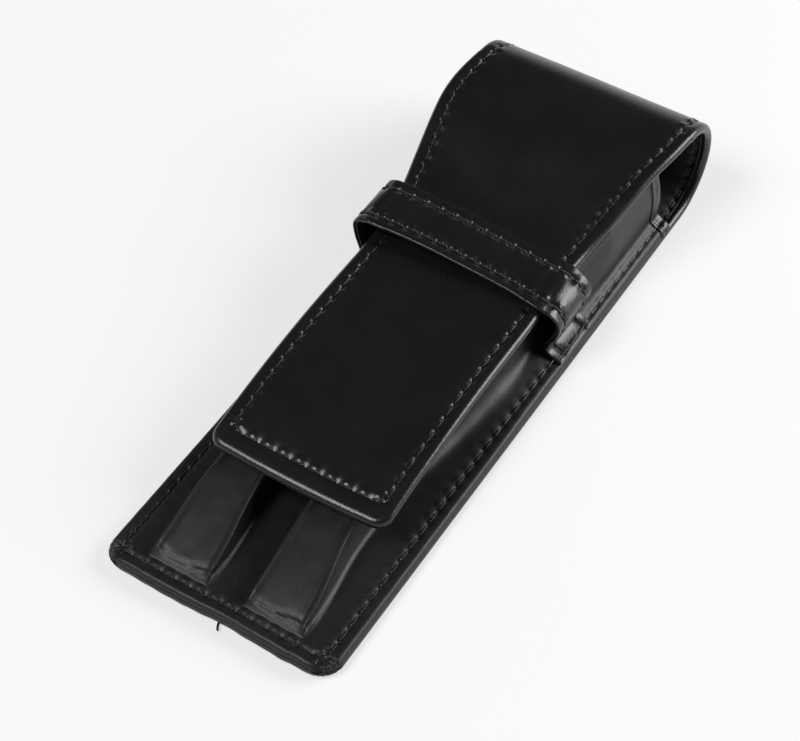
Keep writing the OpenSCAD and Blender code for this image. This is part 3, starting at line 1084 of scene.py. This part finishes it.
# %% [markdown]
# The mouth of each sleeve is bound, because a cut edge of thin leather would fray where pens rub it. The
# binding is a narrow strip folded over the edge and stitched once along its length. It takes its line from
# the sleeve's own rows, so it stays on the sleeve whatever shape that has.

# %% Mouth bindings
BINDING_T = 0.4
# Places on from the stitched edge with a share of the thickness, then places on from the mouth with the
# heights of the outer and the inner face as they turn over it.
BINDING_SWELL = [
    (0.03, 0.45), (0.12, 0.8), (0.3, 1.0), (0.8, 0.95), (1.2, 0.62), (1.45, 0.5), (1.7, 0.62), (2.1, 0.98),
]
BINDING_TURN = [(0.03, 0.38, -0.1), (0.2, 0.28, 0.0), (0.33, 0.12, 0.2), (0.4, -0.2, 0.4)]
BINDING_FOOT = 0.02
BINDING_PLAY = 0.012


def binding_profile():
    """Places along the mouth, each with the heights of the binding's outer and inner face over the sheet."""
    start = MOUTH_L + BINDING_T - (binding_high[1] - binding_low[1])
    face = [(start, BINDING_FOOT)] + [(start + v, BINDING_T * swell) for v, swell in BINDING_SWELL]
    face += [(MOUTH_L - 0.4, BINDING_T * 1.05), (MOUTH_L - 0.02, BINDING_T)]
    turn = [(MOUTH_L + v, outer, inner - SLEEVE_T) for v, outer, inner in BINDING_TURN]
    return [(l, outer, 0.0) for l, outer in face] + turn


def binding_rows(side):
    """Closed loops of one mouth's binding, from its stitched edge over the mouth and a little way in."""
    rows = []
    for l, outward, inward in binding_profile():
        top, _ = sleeve_row(float(min(l, MOUTH_L)), side)
        normal = square_to(unit(np.gradient(top, axis=0)))
        outer = top + normal * outward
        inner = top + normal * (inward + BINDING_PLAY)
        inner[:, 1] = np.maximum(inner[:, 1], PANEL_T + 0.02)
        loop = np.concatenate([outer, inner[::-1]])
        rows.append(on_base(side * loop[:, 0], l, loop[:, 1]))
    return rows


binding_skins = {
    side: swept(f"mouth_hem_{name}", binding_rows(side), SKIN, "case")
    for side, name in ((1, "right"), (-1, "left"))
}
print("binding points:", point_count(binding_skins.values()))

# %% [markdown]
# The strap is a lined band with both ends turned out and sewn to the side flanges. Between them it stands
# as an arch, and the tongue of the flap slides under it. Its line is a few corners cut again and again
# until it runs smooth, which is how a band of leather with sharp bends pressed into it really lies.

# %% Line of the strap
STRAP_RISE = 0.3
STRAP_LINING_T = STRAP_TOP - (SLEEVE_TOP + FLAP_GAP + PANEL_T + STRAP_RISE) - STRAP_T
STRAP_SEAM = 2.8
STRAP_SEAM_END = 4.5
STRAP_STEP = 0.3
TAB_TOP = PANEL_T + SLEEVE_T + STRAP_T
EDGE_X = HALF_W - 0.6
STRAP_CORNERS = np.array([
    (-EDGE_X, TAB_TOP), (-STRAP_HALF - 0.6, TAB_TOP), (-STRAP_HALF + 0.4, TAB_TOP + 0.3),
    (-STRAP_HALF + 0.8, 8), (-STRAP_HALF + 0.3, 11.5), (-STRAP_HALF - 1.1, 15), (-STRAP_HALF - 1.6, 19.4),
    (-26.0, STRAP_TOP + 2.3), (-20.5, STRAP_TOP + 2.6), (-13, STRAP_TOP + 2.4), (-5, STRAP_TOP + 2.2),
    (3, STRAP_TOP + 1.5), (12, STRAP_TOP + 0.7), (18, STRAP_TOP + 0.3), (22.6, STRAP_TOP),
    (26.4, 17.4), (STRAP_HALF + 1.1, 14.4), (STRAP_HALF + 0.2, 11.2), (STRAP_HALF - 1.4, 8.6),
    (STRAP_HALF - 2.1, TAB_TOP + 2.4), (STRAP_HALF - 1.2, TAB_TOP + 1.1), (EDGE_X, TAB_TOP - 0.2),
], float)


def cut_corners(line, rounds):
    """Smooth line from a few corners, by cutting every corner again and again."""
    for _ in range(rounds):
        a, b = line[:-1], line[1:]
        inner = np.stack([a * 0.75 + b * 0.25, a * 0.25 + b * 0.75], axis=1).reshape(-1, line.shape[1])
        line = np.concatenate([line[:1], inner, line[-1:]])
    return line


def strap_line():
    """Outer line of the strap from the end of its left tab to the end of its right tab, with its normals."""
    line = cut_corners(STRAP_CORNERS, 4)
    run = run_along(line)
    even = np.append(np.arange(0, run[-1], STRAP_STEP), run[-1])
    smooth = on_line(even, run, line)
    return even, smooth, square_to(unit(np.gradient(smooth, axis=0)))


strap_run, strap_mid, strap_normal = strap_line()
STRAP_RUN = strap_run[-1]
strap_marks = spaced(np.array([[STRAP_SEAM_END], [STRAP_RUN - STRAP_SEAM_END]]), PITCH)[:, 0]
strap_seams = [
    np.stack([np.full_like(strap_marks, v), strap_marks], axis=1) for v in (STRAP_SEAM, STRAP_W - STRAP_SEAM)
]
strap_holes = np.concatenate(strap_seams)
strap_beads = np.concatenate([
    (row[:-1] + row[1:]) / 2 + (BEAD_INSET * np.sign(STRAP_W / 2 - row[0, 0]), 0) for row in strap_seams
])
print("strap is", round(float(STRAP_RUN)), "mm long, lining", round(float(STRAP_LINING_T), 2), "mm")

# %% [markdown]
# The strap's section is carried along that line, so the edges roll, the seams sink, and the tight turns at
# the shoulders crumple. Its near edge flares where it turns down, because the leather there is stretched.

# %% Strap and its lining
SHOULDER_S = 22
# How far the near edge flares, how far from the strap's end, and over what length.
FLARE_LEFT, FLARE_RIGHT = (0.5, 24, 6), (0.9, 22, 5)
STRAP_LINING_INSET = 0.35
STRAP_STEPS = np.array([
    0, 0.04, 0.15, 0.35, 0.65, 1.0, 1.4, 1.8, 2.1, 2.35, 2.5, 2.65, 2.8,
    2.95, 3.1, 3.25, 3.4, 3.55, 3.7, 3.85, 4.0, 4.2, 4.5, 4.9, 5.6,
])
STRAP_MIDDLE_POINTS = 8
TAB_FLAT_L = 6


def strap_point(v, s, h):
    """Point of the strap, v across its width from the near edge, s along it, h in from its outer face."""
    v, s, h = floats(v, s, h)
    mid = np.stack([np.interp(s, strap_run, strap_mid[:, k]) for k in range(2)], axis=-1)
    out = np.stack([np.interp(s, strap_run, strap_normal[:, k]) for k in range(2)], axis=-1)
    place = mid - out * h[..., None]
    left = FLARE_LEFT[0] * mound(s, FLARE_LEFT[1], FLARE_LEFT[2])
    right = FLARE_RIGHT[0] * mound(s - STRAP_RUN, -FLARE_RIGHT[1], FLARE_RIGHT[2])
    flare = (left + right) * (1 - v / STRAP_W) ** 1.5
    low = TAB_TOP - STRAP_T + 0.02
    return on_base(place[..., 0], STRAP_START + v - flare, np.maximum(place[..., 1], low))


def strap_wrinkle(v, s):
    """Crumpling where the strap turns over its shoulders, and slow unevenness elsewhere."""
    points = np.stack(np.broadcast_arrays(v, s, 0.0), axis=-1)
    turned = mound(s, SHOULDER_S, 5) + mound(s - STRAP_RUN, -SHOULDER_S, 5)
    folds = smooth_noise(points * (0.5, 1.6, 1), 3.0, 21)
    return -0.3 * turned * np.minimum(folds, 0.35) + 0.12 * smooth_noise(points, 9, 22)


def strap_rows(start_h, end_h, inset):
    """Closed loops of one layer of the strap, between two depths, inset from the strap's edges."""
    outer = start_h == 0
    thick = end_h - start_h
    middle = np.linspace(STRAP_STEPS[-1], STRAP_W - STRAP_STEPS[-1], STRAP_MIDDLE_POINTS)[1:-1]
    v = np.concatenate([STRAP_STEPS, middle, (STRAP_W - STRAP_STEPS)[::-1]])
    d = np.minimum(v, STRAP_W - v)
    wide = np.clip(v, inset, STRAP_W - inset)
    rows = []
    for s in crowded(0, STRAP_RUN, STRAP_STEP):
        roll = edge_roll(np.minimum(d, min(s, STRAP_RUN - s)), thick / 2 - 0.01)
        dip = seam_depth(d - STRAP_SEAM, v, s, near_holes(strap_holes, s), near_holes(strap_beads, s))
        dip = dip * (1.15 if outer else -0.5)
        off_tabs = ramp(s, TAB_FLAT_L, 4) * ease((STRAP_RUN - TAB_FLAT_L - s) / 4)
        mood = strap_wrinkle(v, np.full_like(v, s)) * off_tabs
        top = start_h + roll + dip + mood
        low = end_h - roll + (dip * 0.5 if outer else 0) + mood
        low = np.maximum(low, top + 0.02 * (roll < thick / 2 - 0.02))
        s_in = min(max(s, inset * 1.5), STRAP_RUN - inset * 1.5)
        rows.append(strap_point(there_and_back(wide, wide), s_in, there_and_back(top, low)))
    return rows


strap_skin = swept("strap_skin", strap_rows(0, STRAP_T, 0.0), SKIN, "case")
strap_lining_rows = strap_rows(STRAP_T + 0.02, STRAP_T + STRAP_LINING_T, STRAP_LINING_INSET)
strap_lining_skin = swept("lining_of_strap", strap_lining_rows, LINING, "case")
print("strap points:", point_count([strap_skin, strap_lining_skin]))

# %% [markdown]
# Every stitch is a short capsule of thread that dives into a hole at each end. A curve with a round bevel
# could draw the thread too, but it would show one even cord; capsules made as a mesh can fatten in the
# middle and sink at both holes. Stitches lie on a face, so each seam gives the depth of its face between
# two holes.

# %% One stitch, and stitches along a seam
THREAD_R = 0.24
THREAD_WIDER = 1.1
STITCH_GAP = 0.34
STITCH_LIFT = 0.12
STITCH_DIVE = 0.3
STITCH_RINGS, STITCH_SIDES = 9, 8


def stitch_mesh(spans):
    """Points and faces of capsules along short curved spans of points with normals, all in metres."""
    rings, sides = STITCH_RINGS, STITCH_SIDES
    points, faces = [], []
    for path, up in spans:
        base = len(points)
        t = np.linspace(0, 1, rings)
        pos = on_line(t, np.linspace(0, 1, len(path)), path)
        out = on_line(t, np.linspace(0, 1, len(up)), up)
        along = unit(np.gradient(pos, axis=0))
        out = unit(out - along * np.sum(out * along, axis=1)[:, None])
        cross = np.cross(along, out)
        fat = THREAD_R * MM * np.sqrt(np.maximum(1 - (2 * t - 1) ** 8, 0.03))
        dive = -STITCH_DIVE * MM * (2 * t - 1) ** 6
        for k in range(rings):
            for j in range(sides):
                a = 2 * math.pi * j / sides
                round_it = out[k] * math.sin(a) + cross[k] * math.cos(a) * THREAD_WIDER
                points.append(pos[k] + out[k] * dive[k] + fat[k] * round_it)
        for k in range(rings - 1):
            for j in range(sides):
                a, b = base + k * sides + j, base + k * sides + (j + 1) % sides
                faces.append((a, b, b + sides, a + sides))
        faces.append(tuple(range(base + sides - 1, base - 1, -1)))
        faces.append(tuple(range(base + (rings - 1) * sides, base + rings * sides)))
    return points, faces


def stitches_on(place, holes, surface_h, lift=STITCH_LIFT):
    """Spans between neighbouring holes of a seam, lying on a face given by a function of flat terms."""
    spans = []
    for a, b in zip(holes[:-1], holes[1:]):
        gap = STITCH_GAP / np.linalg.norm(b - a)
        t = np.linspace(gap, 1 - gap, 7)[:, None]
        flat = a + (b - a) * t
        h = surface_h(flat)
        low = place(flat[:, 0], flat[:, 1], h)
        high = place(flat[:, 0], flat[:, 1], h - 0.2)
        up = unit(high - low)
        spans.append((low + up * lift * MM, up))
    return spans


def inside_stitches(holes, surface_h):
    """Spans on the strip's inner side, where up is the other way."""
    return [(path, -up) for path, up in stitches_on(folded, holes, surface_h, lift=-STITCH_LIFT)]


def thread(name, spans, body=None):
    """One piece holding the stitches of a seam, smooth all over."""
    points, faces = stitch_mesh(spans)
    made = piece(name, np.array(points), faces, THREAD, body)
    for face in made.data.polygons:
        face.use_smooth = True
    return made


print("a stitch is", round(PITCH - 2 * STITCH_GAP, 2), "mm long and", 2 * THREAD_R, "mm thick")

# %% [markdown]
# One merged object holds the stitches of each seam, except over the bend, where the stitches are split into
# one object for each strip that they lie on. On the inner side, the sleeves cover the strip up to their
# mouths, and the stitches lie on the sleeves' flanges there.

# %% Stitches of the strip and of the flanges
def outer_h(flat):
    """Depth of the outer face of the strip at the seam, between two holes."""
    wave = np.where(flat[:, 1] > BEND_L, hand_wave(flat[:, 0], flat[:, 1]) * 0.3, 0)
    return 0.32 + wave


def inner_h(flat):
    """Depth of the inner face of the strip at the seam."""
    return np.full(len(flat), PANEL_T - 0.3)


def flange_h(flat):
    """Height of the flange's face at the seam, between two holes, as a depth from the strip's outer face."""
    past_toe = flat[:, 1] > 8
    outward = np.clip((HALF_W - np.abs(flat[:, 0])) / FLANGE_W, 0, 1) * past_toe
    return PANEL_T + SLEEVE_T - 0.3 + (flange_tilt(flat[:, 1]) + 0.3) * outward - 0.3 * past_toe


def between(spans, places, start, stop):
    """Those spans whose places lie between start and stop."""
    return [span for span, place in zip(spans, places) if start <= place < stop]


all_holes = {"left": side_holes[-1], "right": side_holes[1]}
for name, holes in all_holes.items():
    middle = (holes[:-1, 1] + holes[1:, 1]) / 2
    for face in ("outer", "inner"):
        if face == "outer":
            spans = stitches_on(folded, holes, outer_h)
            thread(f"thread_{name}_back_outer", between(spans, middle, 0, strip_marks[0]), "case")
        else:
            spans = inside_stitches(holes, inner_h)
            thread(f"thread_{name}_mouth", between(spans, middle, MOUTH_L, strip_marks[0]), "case")
        thread(f"thread_{name}_flap_{face}", between(spans, middle, strip_marks[-1], END_U), "flap")
        for k in range(HINGES):
            over_hinge = between(spans, middle, strip_marks[k], strip_marks[k + 1])
            bend_across(thread(f"thread_{name}_bend_{face}_{k}", over_hinge), k)
thread("thread_tongue_outer", stitches_on(folded, tongue_holes, outer_h), "flap")
thread("thread_tongue_inner", inside_stitches(tongue_holes, inner_h), "flap")
thread("thread_end_under", stitches_on(folded, base_holes, outer_h), "case")
for name, holes in all_holes.items():
    middle = (holes[:-1, 1] + holes[1:, 1]) / 2
    spans = inside_stitches(holes, flange_h)
    below_strap = between(spans, middle, 0, STRAP_START - 1)
    past_strap = between(spans, middle, STRAP_END + 1, MOUTH_L - 1)
    thread(f"thread_{name}_flange", below_strap + past_strap, "case")
thread("thread_end_flange", inside_stitches(base_holes, flange_h), "case")

# %% [markdown]
# The strap is stitched along both its edges, and each of its tabs is stitched across to the flange under
# it. Two cut ends of thread were left hanging when the seams were finished; they are drawn as they fell.

# %% Stitches of the strap, and loose ends
TAB_SEAM = 1.3
TAB_SEAM_END = 1.5
TAB_LIFT = 0.3


def strap_h(flat):
    """Depth of the strap's outer face at a seam."""
    return 0.22 + strap_wrinkle(flat[:, 0], flat[:, 1])


for number, row in enumerate(strap_seams, 1):
    thread(f"thread_strap_{number}", stitches_on(strap_point, row, strap_h), "case")
tab_marks = spaced(np.array([[TAB_SEAM_END], [STRAP_W - TAB_SEAM_END]]), PITCH)[:, 0]
for name, s in (("left", TAB_SEAM), ("right", STRAP_RUN - TAB_SEAM)):
    row = np.stack([tab_marks, np.full_like(tab_marks, s)], axis=1)
    thread(f"thread_strap_tab_{name}", stitches_on(strap_point, row, strap_h, lift=TAB_LIFT), "case")


def tail(name, places):
    """Cut end of thread left hanging from the last hole, through a few places in x, l and height."""
    line = np.array(places, float)
    for _ in range(3):
        line = np.concatenate([line[:1], (line[:-1] + line[1:]) / 2, line[-1:]])
    points = at(*line.T)
    up = np.tile(np.array([0.3, -0.4, 0.85]), (len(points), 1))
    return thread(name, [(points, up)], "case")


tail("thread_tail_end", [
    (0.6, 3.2, -0.1), (1.0, 1.0, -0.05), (1.4, -0.2, 0.4), (1.9, -0.7, 0.4), (2.2, -1.1, 0.5),
])
tail("thread_tail_left", [(-25.4, 3.6, 3.5), (-24.8, 4.3, 4.2), (-23.6, 4.6, 4.3), (-22.9, 4.2, 3.9)])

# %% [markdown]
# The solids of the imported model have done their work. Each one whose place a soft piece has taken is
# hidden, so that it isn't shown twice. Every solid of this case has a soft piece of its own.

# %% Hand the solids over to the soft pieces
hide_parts("back_outer")
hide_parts("back_lining")
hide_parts("sleeve_right")
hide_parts("sleeve_left")
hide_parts("mouth_binding_right")
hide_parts("mouth_binding_left")
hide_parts("strap_outer")
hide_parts("strap_lining")
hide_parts("flap_outer")
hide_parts("flap_lining")
for k in range(1, HINGES):
    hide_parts(f"bend_outer_{k}")
    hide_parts(f"bend_lining_{k}")
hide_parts("back_board")
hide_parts("flap_board")
print("solids replaced")

# %% [markdown]
# The case lies on a wide sheet of pale paper. Seen straight on, the paper should be almost white and still
# hold a soft shadow, without throwing more light up at the leather. So its colour is chosen by the kind of
# ray: the camera and mirror-like reflections see a pale, glowing tone, and all other light meets plain
# grey.

# %% Floor
FLOOR_REACH = 3.0
FLOOR_DROP = 0.0002
PAPER_ROUGHNESS = 0.9
PAPER_LIT, PAPER_SHOWN, PAPER_GLOW = 0.8, 0.36, 0.575


def paper_floor(name, lit, shown, glow):
    """Matt paper: camera and mirror rays see a pale tone with a soft shadow, other rays see plain grey."""
    material, tree, shader = nodes_of(name)
    shader.inputs["Roughness"].default_value = PAPER_ROUGHNESS
    path = tree.nodes.new("ShaderNodeLightPath")
    seen = reckoned(tree, "MAXIMUM", path.outputs["Is Camera Ray"], path.outputs["Is Glossy Ray"])
    tree.links.new(mixed(tree, (lit, lit, lit), (shown, shown, shown), seen), shader.inputs["Base Color"])
    shader.inputs["Emission Color"].default_value = (1, 1, 1, 1)
    tree.links.new(reckoned(tree, "MULTIPLY", seen, glow), shader.inputs["Emission Strength"])
    return material


floor_mesh = bpy.data.meshes.new("floor")
floor_corners = [(FLOOR_REACH * x, FLOOR_REACH * y, 0) for x, y in ((-1, -1), (1, -1), (1, 1), (-1, 1))]
floor_mesh.from_pydata(floor_corners, [], [(0, 1, 2, 3)])
floor = bpy.data.objects.new("floor", floor_mesh)
floor.location.z = -FLOOR_DROP
bpy.context.scene.collection.objects.link(floor)
floor_mesh.materials.append(paper_floor("floor_paper", PAPER_LIT, PAPER_SHOWN, PAPER_GLOW))
print("floor of paper,", 2 * FLOOR_REACH, "m wide")

# %% [markdown]
# Black leather is lit by what it mirrors. A large softbox high in front gives the flap its even tone and
# throws the soft shadow; a second one lower, behind on the right, draws the light lines along the rolled
# edges and the side of the bend. The world is brightest at the horizon and nearly dark overhead, so that
# flat faces stay black.

# %% Light
HORIZON_GLOW = (("From Min", 0.12), ("From Max", 0.42), ("To Min", 0.8), ("To Max", 0.05))


def softbox(name, place, aim, size, power):
    """Rectangular lamp at a place, turned to its aim."""
    light = bpy.data.lights.new(name, "AREA")
    light.shape = "RECTANGLE"
    light.size, light.size_y = size
    light.energy = power
    lamp = bpy.data.objects.new(name, light)
    lamp.location = place
    lamp.rotation_mode = "QUATERNION"
    lamp.rotation_quaternion = (Vector(aim) - Vector(place)).to_track_quat("-Z", "Y")
    bpy.context.scene.collection.objects.link(lamp)
    return lamp


softbox("light_front", place=(-0.36, -0.6, 0.95), aim=(0, 0, 0), size=(0.5, 0.5), power=8.8)
softbox("light_right", place=(0.62, 0.58, 0.44), aim=(0, 0, 0.01), size=(0.66, 0.5), power=9.6)
world = bpy.data.worlds.new("studio")
bpy.context.scene.world = world
world.use_nodes = True
sky = world.node_tree
heading = sky.nodes.new("ShaderNodeSeparateXYZ")
sky.links.new(sky.nodes.new("ShaderNodeTexCoord").outputs["Generated"], heading.inputs["Vector"])
band = sky.nodes.new("ShaderNodeMapRange")
band.interpolation_type = "SMOOTHSTEP"
for socket, value in HORIZON_GLOW:
    band.inputs[socket].default_value = value
sky.links.new(heading.outputs["Z"], band.inputs["Value"])
sky.links.new(band.outputs["Result"], sky.nodes["Background"].inputs["Strength"])
sky.nodes["Background"].inputs["Color"].default_value = (1, 1, 1, 1)
bpy.context.scene.view_settings.view_transform = "Standard"
